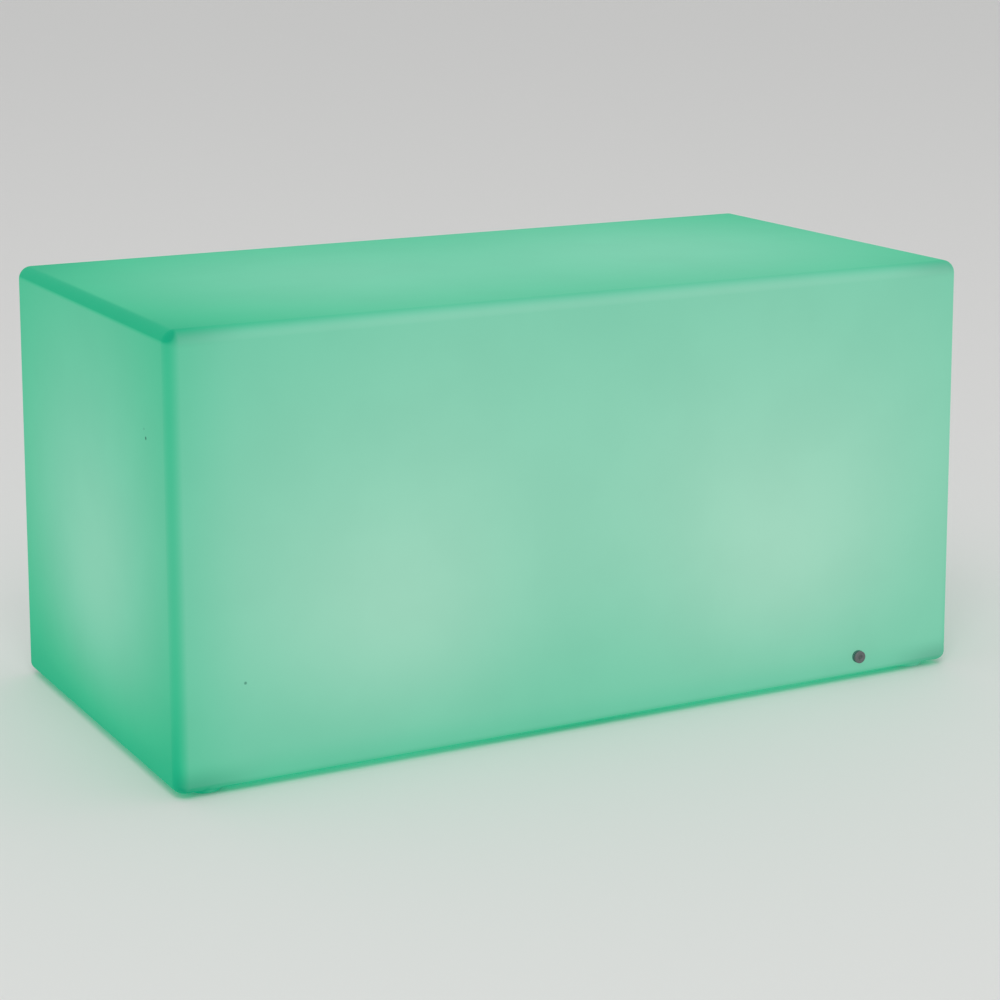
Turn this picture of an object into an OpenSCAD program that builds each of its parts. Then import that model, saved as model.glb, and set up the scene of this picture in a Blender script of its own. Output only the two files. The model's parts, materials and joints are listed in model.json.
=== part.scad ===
// Lit double cube for a garden or a porch. A hollow moulded shell stands on low moulded feet,
// two equal lamp modules are screwed into its floor, and a capped charging socket sits low
// on its front wall. Millimetres. +X runs along the body, -Y is the front and +Z is up.
// The origin is on the ground, under the middle of the body.

/* [Body] */
// Length of the body at half its height
body_len = 802; // [720:1:1000]
// Depth of the body at half its height
body_depth = 398; // [340:1:520]
// Height of the body above its feet
body_h = 395; // [300:1:520]
// Draft of the side walls in degrees, widest at the bottom
draft = 0.69; // [0:0.01:1.5]
// Radius of every outer edge
edge_r = 15; // [12:0.5:19]
// Thickness of the moulded wall
wall = 4; // [3:0.1:5]

/* [Feet] */
// Height of the moulded feet
foot_h = 5; // [4.5:0.1:9]
// Radius of a foot on the ground
foot_r = 13; // [9:0.5:15]
// How much wider a foot is where it meets the body
foot_flare = 3; // [0.5:0.1:4]
// From a foot's centre to the end of the base
foot_inset_x = 34; // [30:1:60]
// From a foot's centre to the front or the back of the base
foot_inset_y = 24; // [23:1:50]

/* [Module tub] */
// Distance between the centres of the two modules
module_pitch = 402; // [360:1:460]
// Outer radius of the tub that holds the electronics
tub_r = 70; // [68.5:0.5:76]
// Thickness of the tub's wall
tub_wall = 2.5; // [2:0.1:3.5]
// Height of the tub's rim above the underside of its flange
tub_h = 45; // [43:0.5:60]
// Thickness of the flange and the floor of the tub
cover_t = 3.5; // [3:0.1:4.2]
// Width of the flange outside the tub
flange_w = 19; // [18:0.5:24]
// Depth of the pocket in the shell's floor
pocket_depth = 8; // [7.2:0.1:12]
// Gap between the flange and the pocket's wall
pocket_gap = 3; // [1:0.5:5]
// Gap between the tub and the opening in the shell
opening_gap = 3; // [1:0.5:4]
// Gap between the flange and the shell, which the seal bridges
seat_gap = 0.3; // [0.2:0.05:0.5]

/* [Cover seal] */
// Width of the sealing ring
seal_w = 3; // [2:0.1:4]
// Thickness of the sealing ring as it sits
seal_t = 1.8; // [1.2:0.1:2.4]
// From the edge of the shell's opening to the seal
seal_edge = 2.5; // [1.5:0.1:3]

/* [Cover screws] */
// Number of screws that hold a cover
screw_n = 6; // [4:1:8]
// Radius of a cover screw's shank
screw_r = 2; // [1.5:0.1:2.4]
// Length of a cover screw under its head
screw_len = 12; // [9:0.5:14]
// Radius of a cover screw's head
screw_head_r = 4; // [3.2:0.1:4.5]
// Height of a cover screw's head
screw_head_h = 2.5; // [1.5:0.1:2.8]
// From a screw's centre to the edge of the flange
screw_edge = 5; // [4.5:0.1:6]
// Outer radius of a threaded insert
insert_r = 3; // [2.8:0.1:3.5]
// Length of a threaded insert
insert_len = 8; // [5:0.5:10]
// Thickness of the shell round an insert
boss_wall = 2.5; // [1.5:0.1:3]

/* [Battery] */
// Radius of a battery cell
cell_r = 9.15; // [7:0.05:9.5]
// Length of a battery cell
cell_len = 65; // [50:0.5:68]
// Number of cells side by side
cell_n = 4; // [2:1:4]
// Plastic left between two cells
cell_web = 0.8; // [0.6:0.1:1.2]
// Thickness of the tray's side and end walls
tray_wall = 2; // [1.2:0.1:2.4]
// Thickness of the tray under the cells
tray_floor = 1.5; // [1:0.1:2.5]
// Height of the tray's end walls
tray_end_h = 17.3; // [14:0.1:20]
// Thickness of the contact strips
contact_t = 0.3; // [0.2:0.05:0.6]
// Width of the strap over the cells
strap_w = 16; // [10:1:24]
// Thickness of the strap
strap_t = 1.2; // [0.8:0.1:2]

/* [Control board] */
// Length of the control board
board_w = 50; // [46:1:52]
// Depth of the control board
board_d = 22; // [20:0.5:24]
// Thickness of the control board
board_t = 1.6; // [1:0.1:2]
// Height of the posts under the control board
board_post_h = 11.3; // [10.5:0.1:14]
// From the board's outer corners to the tub's wall
board_gap = 2.5; // [1.5:0.1:3]
// Gap between the board and the battery tray
tray_gap = 3.1; // [2.8:0.1:6]
// Width of a connector
conn_w = 6; // [4:0.5:7]
// Depth of a connector
conn_d = 8; // [5:0.5:9]
// Height of a connector
conn_h = 5.8; // [4:0.1:7]

/* [Power button] */
// Radius of the button
button_r = 7; // [5.5:0.1:7.5]
// How far the button stands out of the underside at rest
button_proud = 1.5; // [0.5:0.1:2]
// Travel of the button
button_travel = 2; // [1:0.1:2.2]
// Width of the collar that keeps the button in
button_collar = 1.4; // [1:0.1:2]
// Radial clearance between the button and its hole
button_fit = 0.06; // [0.03:0.01:0.1]
// Mean radius of the return spring
spring_r = 5.3; // [5.2:0.1:6]
// Radius of the spring's wire
wire_r = 0.35; // [0.25:0.05:0.45]
// Number of turns of the spring
spring_turns = 5; // [3:1:6]

/* [LEDs] */
// From the tub's rim down to the heat plate's underside
plate_drop = 4; // [3.6:0.1:6]
// Thickness of the heat plate
plate_t = 2; // [1.5:0.1:3]
// From the tub's wall to the posts under the heat plate
plate_post_edge = 9.5; // [7.5:0.5:10.5]
// From those posts to the edge of the LED board
led_board_edge = 6; // [5:0.5:8]
// Thickness of the LED board
led_board_t = 1.6; // [1:0.1:2]
// Width of an LED
led_w = 5; // [3:0.5:5.5]
// Height of an LED
led_h = 1.4; // [0.8:0.1:2]
// From the edge of the LED board to the outer ring of LEDs
led_ring_in = 7; // [5:0.5:8]
// Height of the dome above the tub's rim
dome_h = 22; // [18:0.5:30]
// Thickness of the dome
dome_t = 2; // [1.5:0.1:2.5]

/* [Charging socket] */
// Place of the socket along the front wall, from the middle
socket_x = 293; // [270:1:320]
// Height of the socket above the underside of the body
socket_up = 20; // [19:0.5:35]
// Radius of the socket's flange
socket_flange_r = 6.1; // [5.6:0.1:7]
// Thickness of the socket's flange
socket_flange_t = 1.8; // [1.2:0.1:2.4]
// Radius of the socket's threaded barrel
barrel_r = 4; // [3.8:0.1:4.4]
// Radius of the hole that takes the charging plug
plug_hole_r = 2.8; // [2.75:0.05:3]
// Radius of the socket's centre pin
pin_r = 1; // [0.8:0.05:1.05]
// Depth of the plug hole behind the outside of the wall
plug_depth = 9; // [7:0.5:10]
// Thickness of the socket behind its plug hole
socket_back = 5; // [4:0.5:6]
// Thickness of the gasket under the flange
gasket_t = 0.8; // [0.5:0.1:1.2]
// Radius of the cap
cap_r = 6; // [5.5:0.1:7]
// Thickness of the cap's head
cap_t = 2.5; // [1.8:0.1:3]
// Length of the cap's plug behind its head
cap_plug_len = 6.5; // [4:0.1:8]
// Radial clearance of the cap's plug in the plug hole
cap_fit = 0.1; // [0.05:0.01:0.2]

/* [Leads] */
// Radius of the leads between the socket and the modules
lead_r = 1.75; // [1.2:0.05:1.8]
// Radius of the thin leads inside a module
thin_lead_r = 1.2; // [0.8:0.05:1.2]
// Radius of the holes for the grommets
grommet_hole_r = 4.2; // [3.5:0.1:4.4]

/* [Hidden] */
SIDES = ["left", "right"];
MODULE_NODES = [
    "base_cover", "cover_seal", "cover_screws", "threaded_inserts", "battery_tray", "battery_cells",
    "contact_strips", "battery_strap", "battery_lead", "control_board", "board_parts",
    "board_screws", "button_switch", "power_button", "button_spring", "heat_plate",
    "plate_screws", "led_board", "leds", "led_lead", "light_dome"
];
$fn = 96;

// Small clearances between fixed pieces
fit = 0.05;
// Gap left beside pieces that move, and at the end of their travel
free_gap = 0.3;
// How far a cut runs past the face that it opens
over = 1;
// Room round a flange or a washer in its spot face
spot_room = 0.5;

// Body, with heights measured from the ground
lean = tan(draft);
body_top = foot_h + body_h;
base_half_len = body_len / 2 + lean * body_h / 2;
base_half_depth = body_depth / 2 + lean * body_h / 2;
floor_z = foot_h + wall;
foot_top_r = foot_r + foot_flare;

// Seat and cover
seat_z = foot_h + pocket_depth;
cover_top = seat_z - seat_gap;
cover_z = cover_top - cover_t;
cover_r = tub_r + flange_w;
tub_in = tub_r - tub_wall;
rim_z = cover_z + tub_h;
pocket_r = cover_r + pocket_gap;
opening_r = tub_r + opening_gap;
seal_in = opening_r + seal_edge;
seal_groove = seal_t - seat_gap;

// Cover screws and inserts
screw_at = cover_r - screw_edge;
screw_depth = max(insert_len, screw_len - cover_t - seat_gap) + 1;
boss_top = seat_z + screw_depth + boss_wall;

// Battery
cell_pitch = 2 * cell_r + cell_web;
cell_room = 0.15;
cells_w = cell_n * cell_pitch;
cell_z = cover_top + tray_floor + cell_r + cell_room;
contact_y = cell_len / 2 + fit;
tray_in = contact_y + contact_t + fit;
tray_half_w = cells_w / 2 + tray_wall;
tray_half_d = tray_in + tray_wall;

// Control board, in the front of the tub
board_far = sqrt(pow(tub_in - board_gap, 2) - pow(board_w / 2, 2));
board_y = board_d / 2 - board_far;
tray_y = board_y + board_d / 2 + tray_gap + tray_half_d;
board_z = cover_top + board_post_h;
board_top = board_z + board_t;
board_screw_r = 1.25;
board_screw_in = 4;
board_screw_len = 7;
board_head_r = 2.3;
board_head_h = 1.8;
board_post_r = board_screw_r + 1.75;
board_prop_r = 2;
board_prop_x = 15;
board_prop_in = 2.5;
conn_y = board_y + 5;
chip_w = 8;
chip_t = 1.6;
chip_in = 5.5;
chip_y = board_y - chip_in;
coil_r = 3.2;
coil_h = 3;
coil_x = 12;
side_conn_x = board_w / 2 - conn_w / 2 - 0.5;
top_conn_x = 9.5;
lead_z = board_top + conn_h / 2;

// Button and its switch
switch_w = 6;
switch_h = 3.5;
switch_nub = 1.5;
collar_t = 1.5;
collar_z = cover_top + free_gap;
button_z = cover_z - button_proud;
stem_r = 2.2;
nub_r = 1.75;
button_dish = 0.6;
button_dish_r = button_r - 1.2;
stem_top = board_z - switch_h - switch_nub - button_travel - free_gap;

// Heat plate, LED board and dome
plate_z = rim_z - plate_drop;
plate_r = tub_in - 0.7;
plate_post_at = tub_in - plate_post_edge;
plate_post_r = 3.5;
plate_screw_r = 1.5;
plate_screw_len = 8;
plate_head_r = 2.75;
plate_head_h = 1.9;
PLATE_POSTS = [20, 160, 200, 340];
led_board_z = plate_z + plate_t;
led_z = led_board_z + led_board_t;
led_board_r = plate_post_at - led_board_edge;
led_ring_r = led_board_r - led_ring_in;
LED_RINGS = [[led_ring_r, 12], [led_ring_r - 17, 8], [led_ring_r - 35, 4]];
led_hole = [9.5, board_y + 10];
led_hole_r = 2;
dome_chord = tub_r - 3;
dome_rise = dome_h - dome_t;
dome_ball = (pow(dome_chord, 2) + pow(dome_rise, 2)) / (2 * dome_rise);
dome_lip = 1.5;

// Socket, along its own axis from the outside of the wall
socket_z = foot_h + socket_up;
socket_depth = plug_depth + socket_back;
spot = 0.3;
gasket_z = -spot;
flange_z = gasket_z + gasket_t;
flange_top = flange_z + socket_flange_t;
washer_t = 0.5;
washer_r = barrel_r + 2.5;
nut_t = 2.2;
nut_r = barrel_r + 2.35;
wall_in = spot - wall;
cap_z = flange_top + free_gap;
cap_top = cap_z + cap_t;
cap_round = 0.8;
cap_bevel = 0.4;
cap_dish_r = 2.4;
cap_dish = 0.5;
cap_bore = pin_r + 0.65;
pin_tip = 1.2;
pin_point = 0.5;
pin_tail_r = 0.8 * pin_r;
pin_tail = 3;

// Grommets and clips
GROMMET_ANGLES = [-135, -45];
GROMMET_PLACES = [["left", GROMMET_ANGLES[1]], ["right", GROMMET_ANGLES[0]], ["right", GROMMET_ANGLES[1]]];
grommet_lip_r = grommet_hole_r + 1.3;
grommet_lip = 1.5;
grommet_cut = 4;
grommet_in = sqrt(pow(tub_in, 2) - pow(grommet_lip_r, 2)) - fit;
grommet_out = tub_r + fit;
clip_w = 14;
clip_len = 10;
clip_base = 1.2;
clip_lead_up = 6.5;
clip_lead_z = foot_h + clip_lead_up;

// Routes of the leads, by hand. The first two run between housings, with heights from the
// underside of the body.
CHARGING_ROUTE = [
    [293, -187.1, 19.8], [293, -179, 19.7], [293, -170, 18.5], [293, -160, 15], [293, -151, 10.5],
    [293, -143, 7.5], [293, -134, 6.5], [293, -112, 6.5], [291, -98, 6.5], [286, -85, 7],
    [276.5, -75.5, 10.5], [268, -67, 17], [261, -60, 21.7], [255, -54, 23.5], [246.5, -45.5, 23.5],
    [241.5, -44.2, 23.5], [235, -44, 23.5], [225.6, -44, 23.5]
];
LINKING_ROUTE = [
    [176.4, -44, 23.5], [167, -44, 23.5], [160.5, -44.2, 23.5], [155.5, -45.5, 23.5], [147, -54, 23.5],
    [141, -60, 21.7], [134, -67, 17], [125.5, -75.5, 10.5], [116, -84, 7], [104, -89.5, 6.5],
    [90, -90, 6.5], [-90, -90, 6.5], [-104, -89.5, 6.5], [-116, -84, 7], [-125.5, -75.5, 10.5],
    [-134, -67, 17], [-141, -60, 21.7], [-147, -54, 23.5], [-155.5, -45.5, 23.5],
    [-160.5, -44.2, 23.5], [-167, -44, 23.5], [-176.4, -44, 23.5]
];
// These two run inside a module, with places from the middle of its control board and heights
// from the tub's floor
BATTERY_ROUTE = [
    [-9.5, 15.1, 17.35], [-9.5, 15.1, 20.3], [-9.5, 14, 23.3], [-9.5, 11.5, 25.3],
    [-9.5, 8.5, 25.3], [-9.5, 6, 23.3], [-9.5, 5, 20.8], [-9.5, 5, 18.75]
];
LED_ROUTE = [
    [9.5, 5, 18.75], [9.5, 5, 22.3], [9.5, 6.5, 26.8], [9.5, 8.5, 30.8],
    [9.5, 10, 34.8], [9.5, 10, 39.4]
];
LINK_CLIPS_X = [-70, 0, 70];
link_clip_y = -90;
charge_clip = [293, -123];

// Half the depth of the body at a height above the ground
function half_depth(z) = body_depth / 2 + lean * (body_h / 2 - (z - foot_h));
function unit(v) = v / norm(v);
function module_x(side) = (side == "left" ? -1 : 1) * module_pitch / 2;

// Direction of a route at its point i
function heading(route, i) =
    let (last = len(route) - 1)
    i == 0 ? unit(route[1] - route[0])
    : i == last ? unit(route[last] - route[last - 1])
    : unit(unit(route[i] - route[i - 1]) + unit(route[i + 1] - route[i]));

// A tube of n sides along a route. The vector across never runs along the route.
module tube(route, r, across, n = 8) {
    last = len(route) - 1;
    rings = [
        for (i = [0 : last])
            let (t = heading(route, i), u = unit(cross(t, across)), v = cross(t, u))
            for (k = [0 : n - 1]) route[i] + r * (cos(360 * k / n) * u + sin(360 * k / n) * v)
    ];
    walls = [
        for (i = [0 : last - 1])
            for (k = [0 : n - 1])
                let (a = i * n + k, b = i * n + (k + 1) % n)
                each [[a, b, b + n], [a, b + n, a + n]]
    ];
    start_cap = [for (k = [1 : n - 2]) [0, k + 1, k]];
    end_cap = [for (k = [1 : n - 2]) [last * n, last * n + k, last * n + k + 1]];
    polyhedron(points = rings, faces = concat(walls, start_cap, end_cap));
}

// A washer or a round wall between two radii
module ring(r_out, r_in, h) {
    difference() {
        cylinder(r = r_out, h = h);
        translate([0, 0, -over]) cylinder(r = r_in, h = h + 2 * over);
    }
}

// A round-headed screw with a hexagonal recess, its head below z = 0 and its shank above
module screw(r, length, head_r, head_h) {
    difference() {
        union() {
            translate([0, 0, -head_h]) cylinder(r = head_r, h = head_h);
            translate([0, 0, -fit]) cylinder(r = r, h = length + fit);
        }
        translate([0, 0, -head_h - over]) cylinder(r = 0.55 * head_r, h = over + 0.6 * head_h, $fn = 6);
    }
}

// Children repeated round a circle
module around(n, r) {
    for (i = [0 : n - 1]) rotate([0, 0, 360 * i / n]) translate([r, 0, 0]) children();
}

// Children in the frame of a module's axis
module in_module(side) {
    translate([module_x(side), 0, 0]) children();
}

// Children in the frame of a module's battery tray
module in_tray(side) {
    translate([module_x(side), tray_y, 0]) children();
}

// Children on the socket's axis, with z = 0 on the outside of the front wall and +z outwards
module at_socket() {
    translate([socket_x, -half_depth(socket_z), socket_z]) rotate([90 - draft, 0, 0]) children();
}

// Children on a grommet's axis, with z = 0 on the module's axis and +z outwards
module at_grommet(side, angle) {
    in_module(side) rotate([0, 0, angle]) translate([0, 0, lead_z]) rotate([0, 90, 0]) children();
}

// The drafted block with rounded edges. Radius r is edge_r outside and less inside the wall.
// Each corner's facets reach the full radius, so that the flat faces lie where they should.
module block(r) {
    facets = 32;
    hull()
        for (sx = [-1, 1], sy = [-1, 1], z = [edge_r, body_h - edge_r])
            let (inset = edge_r / cos(draft) - lean * (body_h / 2 - z))
            translate([sx * (body_len / 2 - inset), sy * (body_depth / 2 - inset), foot_h + z])
                sphere(r = r / cos(180 / facets), $fn = facets);
}

module at_feet() {
    for (sx = [-1, 1], sy = [-1, 1])
        translate([sx * (base_half_len - foot_inset_x), sy * (base_half_depth - foot_inset_y), 0])
            children();
}

module shell() {
    color("mediumaquamarine")
    difference() {
        union() {
            difference() {
                block(edge_r);
                block(edge_r - wall);
            }
            at_feet() cylinder(r1 = foot_r, r2 = foot_r + foot_flare * floor_z / foot_h, h = floor_z);
            for (side = SIDES) in_module(side) {
                translate([0, 0, foot_h + wall / 2])
                    cylinder(r = pocket_r + wall, h = pocket_depth + wall / 2);
                around(screw_n, screw_at)
                    translate([0, 0, seat_z]) cylinder(r = insert_r + boss_wall, h = boss_top - seat_z);
            }
        }
        at_feet() translate([0, 0, wall])
            cylinder(r1 = foot_r - wall, r2 = foot_top_r - wall, h = foot_h + over);
        for (side = SIDES) in_module(side) {
            cylinder(r = pocket_r, h = seat_z);
            cylinder(r = opening_r, h = boss_top);
            around(screw_n, screw_at) translate([0, 0, seat_z - over]) {
                cylinder(r = insert_r + fit, h = insert_len + over);
                cylinder(r = screw_r + 2 * fit, h = screw_depth + over);
            }
        }
        at_socket() {
            translate([0, 0, -wall - over]) cylinder(r = barrel_r + 3 * fit, h = wall + 2 * over);
            translate([0, 0, -spot]) cylinder(r = socket_flange_r + spot_room, h = spot + over);
            translate([0, 0, wall_in - spot - over])
                cylinder(r = washer_r + spot_room, h = spot + over);
        }
    }
}

module socket_body() {
    color("dimgray") at_socket()
    difference() {
        union() {
            translate([0, 0, flange_z]) cylinder(r = socket_flange_r, h = socket_flange_t);
            translate([0, 0, -socket_depth]) cylinder(r = barrel_r, h = socket_depth + flange_top - fit);
        }
        translate([0, 0, -plug_depth]) cylinder(r = plug_hole_r, h = plug_depth + flange_top + over);
        translate([0, 0, -plug_depth - pin_tail]) cylinder(r = pin_tail_r + fit, h = pin_tail + over);
    }
}

module socket_gasket() {
    color("black") at_socket()
        translate([0, 0, gasket_z]) ring(socket_flange_r - 0.2, barrel_r + fit, gasket_t);
}

module socket_washer() {
    color("silver") at_socket()
        translate([0, 0, wall_in - washer_t]) ring(washer_r, barrel_r + fit, washer_t);
}

module socket_nut() {
    color("silver") at_socket() translate([0, 0, wall_in - washer_t - nut_t])
    difference() {
        cylinder(r = nut_r, h = nut_t, $fn = 6);
        translate([0, 0, -over]) cylinder(r = barrel_r + fit, h = nut_t + 2 * over);
    }
}

module socket_pin() {
    color("gold") at_socket() {
        translate([0, 0, fit - plug_depth]) cylinder(r = pin_r, h = plug_depth + pin_tip - pin_point - fit);
        translate([0, 0, pin_tip - pin_point]) cylinder(r1 = pin_r, r2 = 0.5 * pin_r, h = pin_point);
        translate([0, 0, fit - plug_depth - pin_tail]) cylinder(r = pin_tail_r, h = pin_tail + fit);
    }
}

// A head with rounded edges and a shallow dish, on a hollow plug that passes over the centre pin
module socket_cap() {
    plug_r = plug_hole_r - cap_fit;
    color("gray") at_socket() rotate_extrude()
        polygon(concat(
            [[0, pin_tip + pin_point], [cap_bore, pin_tip + pin_point], [cap_bore, cap_z - cap_plug_len],
             [plug_r, cap_z - cap_plug_len], [plug_r, cap_z],
             [cap_r - cap_bevel, cap_z], [cap_r, cap_z + cap_bevel]],
            [for (a = [0 : 18 : 90])
                [cap_r - cap_round * (1 - cos(a)), cap_top - cap_round * (1 - sin(a))]],
            [[cap_dish_r + cap_bevel, cap_top], [cap_dish_r, cap_top - cap_dish],
             [0, cap_top - cap_dish]]
        ));
}

module charging_lead() {
    color("black") translate([0, 0, foot_h]) tube(CHARGING_ROUTE, lead_r, [0, 0, 1]);
}

module linking_lead() {
    color("black") translate([0, 0, foot_h]) tube(LINKING_ROUTE, lead_r, [0, 0, 1]);
}

// A saddle on the shell's floor, with its bore along Y
module clip() {
    translate([0, 0, floor_z]) difference() {
        union() {
            translate([-clip_w / 2, -clip_len / 2, 0]) cube([clip_w, clip_len, clip_base]);
            translate([-clip_w / 4, -clip_len / 2, 0])
                cube([clip_w / 2, clip_len, clip_lead_z - floor_z + lead_r + clip_base]);
        }
        translate([0, -clip_len, clip_lead_z - floor_z]) rotate([-90, 0, 0])
            cylinder(r = lead_r + fit, h = 2 * clip_len);
    }
}

module lead_clips() {
    color("whitesmoke") {
        for (x = LINK_CLIPS_X) translate([x, link_clip_y, 0]) rotate([0, 0, 90]) clip();
        translate([charge_clip[0], charge_clip[1], 0]) clip();
    }
}

// A rubber grommet in the tub's wall, lipped inside and outside
module grommet() {
    translate([0, 0, grommet_in - grommet_lip]) cylinder(r = grommet_lip_r, h = grommet_lip);
    translate([0, 0, grommet_in - fit])
        cylinder(r = grommet_hole_r - fit, h = grommet_out - grommet_in + 2 * fit);
    translate([0, 0, grommet_out]) cylinder(r = grommet_lip_r, h = grommet_lip);
}

module lead_grommets() {
    color("black")
    for (place = GROMMET_PLACES)
        at_grommet(place[0], place[1]) difference() {
            grommet();
            cylinder(r = lead_r + fit, h = 2 * tub_r);
        }
}

module blanking_plug() {
    color("black") at_grommet("left", GROMMET_ANGLES[0]) grommet();
}

module base_cover(side) {
    color("whitesmoke") in_module(side) difference() {
        union() {
            translate([0, 0, cover_z]) cylinder(r = cover_r, h = cover_t);
            translate([0, 0, cover_z]) ring(tub_r, tub_in, tub_h);
            at_plate_posts() translate([0, 0, cover_top - fit])
                cylinder(r = plate_post_r, h = plate_z - cover_top + fit);
            at_board_screws() translate([0, 0, cover_top - fit])
                cylinder(r = board_post_r, h = board_post_h + fit);
            at_board_props() translate([0, 0, cover_top - fit])
                cylinder(r = board_prop_r, h = board_post_h + fit);
        }
        translate([0, 0, seat_z - seal_t]) ring(seal_in + seal_w, seal_in, seal_t);
        around(screw_n, screw_at) translate([0, 0, cover_z - over])
            cylinder(r = screw_r + 5 * fit, h = cover_t + 2 * over);
        at_plate_posts() translate([0, 0, plate_z - plate_screw_len])
            cylinder(r = plate_screw_r + fit, h = plate_screw_len + over);
        at_board_screws() translate([0, 0, board_z - board_screw_len])
            cylinder(r = board_screw_r + fit, h = board_screw_len + over);
        translate([0, board_y, cover_z - over])
            cylinder(r = button_r + button_fit, h = cover_t + 2 * over);
        for (angle = GROMMET_ANGLES)
            rotate([0, 0, angle]) translate([tub_in - grommet_cut, 0, lead_z]) rotate([0, 90, 0])
                cylinder(r = grommet_hole_r, h = tub_wall + 2 * grommet_cut);
    }
}

module cover_seal(side) {
    color("black") in_module(side) translate([0, 0, seat_z - seal_t])
        ring(seal_in + seal_w - fit, seal_in + fit, seal_t);
}

module cover_screws(side) {
    color("silver") in_module(side) around(screw_n, screw_at)
        translate([0, 0, cover_z]) screw(screw_r, screw_len, screw_head_r, screw_head_h);
}

module threaded_inserts(side) {
    color("goldenrod") in_module(side) around(screw_n, screw_at)
        translate([0, 0, seat_z]) ring(insert_r, screw_r + fit, insert_len);
}

// Places of the cells along the tray
module at_cells() {
    for (i = [0 : cell_n - 1])
        translate([(i - (cell_n - 1) / 2) * cell_pitch, 0, cell_z]) rotate([90, 0, 0]) children();
}

module battery_tray(side) {
    color("black") in_tray(side) difference() {
        union() {
            translate([-tray_half_w, -tray_half_d, cover_top])
                cube([2 * tray_half_w, 2 * tray_half_d, cell_z - cover_top]);
            for (y = [-tray_half_d, tray_in]) translate([-tray_half_w, y, cover_top])
                cube([2 * tray_half_w, tray_wall, tray_end_h]);
        }
        at_cells() translate([0, 0, -contact_y]) cylinder(r = cell_r + cell_room, h = 2 * contact_y);
        for (y = [-tray_in, contact_y - fit]) translate([-cells_w / 2, y, cover_top + tray_floor])
            cube([cells_w, tray_in - contact_y + fit, tray_end_h]);
    }
}

module battery_cells(side) {
    color("royalblue") in_tray(side) at_cells()
        translate([0, 0, -cell_len / 2]) cylinder(r = cell_r, h = cell_len);
}

module contact_strips(side) {
    strip_w = cells_w - 2 * fit;
    strip_h = tray_end_h - tray_floor - 2 * fit;
    color("silver") in_tray(side) for (y = [-contact_y - contact_t, contact_y])
        translate([-strip_w / 2, y, cover_top + tray_floor + fit]) cube([strip_w, contact_t, strip_h]);
}

// A band over the cells and down both sides of the tray
module battery_strap(side) {
    half_w = tray_half_w + fit;
    low_z = cover_top + tray_floor;
    cells_top = cell_z + cell_r + fit;
    color("navy") in_tray(side) difference() {
        translate([-half_w - strap_t, -strap_w / 2, low_z])
            cube([2 * (half_w + strap_t), strap_w, cells_top + strap_t - low_z]);
        translate([-half_w, -strap_w, low_z - over])
            cube([2 * half_w, 2 * strap_w, cells_top - low_z + over]);
    }
}

module battery_lead(side) {
    color("red") in_module(side) translate([0, board_y, cover_top])
        tube(BATTERY_ROUTE, thin_lead_r, [1, 0, 0]);
}

module at_board_screws() {
    for (sx = [-1, 1])
        translate([sx * (board_w / 2 - board_screw_in), board_y - board_d / 2 + board_screw_in, 0])
            children();
}

module at_board_props() {
    for (sx = [-1, 1])
        translate([sx * board_prop_x, board_y + board_d / 2 - board_prop_in, 0]) children();
}

module control_board(side) {
    color("seagreen") in_module(side) difference() {
        translate([-board_w / 2, board_y - board_d / 2, board_z]) cube([board_w, board_d, board_t]);
        at_board_screws() translate([0, 0, board_z - over])
            cylinder(r = board_screw_r + 2 * fit, h = board_t + 2 * over);
    }
}

// Four connectors, a controller chip and a coil
module board_parts(side) {
    color("ivory") in_module(side) {
        for (x = [-side_conn_x, -top_conn_x, top_conn_x, side_conn_x])
            translate([x - conn_w / 2, conn_y - conn_d / 2, board_top]) cube([conn_w, conn_d, conn_h]);
        translate([-chip_w / 2, chip_y - chip_w / 2, board_top]) cube([chip_w, chip_w, chip_t]);
        translate([coil_x, chip_y, board_top]) cylinder(r = coil_r, h = coil_h);
    }
}

module board_screws(side) {
    color("silver") in_module(side) at_board_screws() translate([0, 0, board_top]) mirror([0, 0, 1])
        screw(board_screw_r, board_screw_len, board_head_r, board_head_h);
}

module button_switch(side) {
    color("dimgray") in_module(side) translate([0, board_y, board_z]) {
        translate([-switch_w / 2, -switch_w / 2, -switch_h]) cube([switch_w, switch_w, switch_h]);
        translate([0, 0, -switch_h - switch_nub]) cylinder(r = nub_r, h = switch_nub + fit);
    }
}

// A button with a dished face, a collar inside the tub and a stem that reaches for the switch
module power_button(side) {
    ball = (pow(button_dish_r, 2) + pow(button_dish, 2)) / (2 * button_dish);
    color("gainsboro") in_module(side) translate([0, board_y, 0]) difference() {
        union() {
            translate([0, 0, button_z]) cylinder(r = button_r, h = collar_z + collar_t - button_z);
            translate([0, 0, collar_z]) cylinder(r = button_r + button_collar, h = collar_t);
            translate([0, 0, collar_z]) cylinder(r = stem_r, h = stem_top - collar_z);
        }
        translate([0, 0, button_z + button_dish - ball]) sphere(r = ball);
    }
}

module button_spring(side) {
    steps = 12;
    low_z = collar_z + collar_t + wire_r + fit;
    rise = board_z - wire_r - fit - low_z;
    helix = [
        for (i = [0 : spring_turns * steps])
            let (a = 360 * i / steps)
            [spring_r * cos(a), board_y + spring_r * sin(a), low_z + rise * i / (spring_turns * steps)]
    ];
    color("silver") in_module(side) tube(helix, wire_r, [0, 0, 1], 6);
}

module at_plate_posts() {
    for (a = PLATE_POSTS) rotate([0, 0, a]) translate([plate_post_at, 0, 0]) children();
}

module heat_plate(side) {
    color("lightgray") in_module(side) difference() {
        translate([0, 0, plate_z]) cylinder(r = plate_r, h = plate_t);
        at_plate_posts() translate([0, 0, plate_z - over])
            cylinder(r = plate_screw_r + 2 * fit, h = plate_t + 2 * over);
        translate([led_hole[0], led_hole[1], plate_z - over])
            cylinder(r = led_hole_r, h = plate_t + 2 * over);
    }
}

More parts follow.
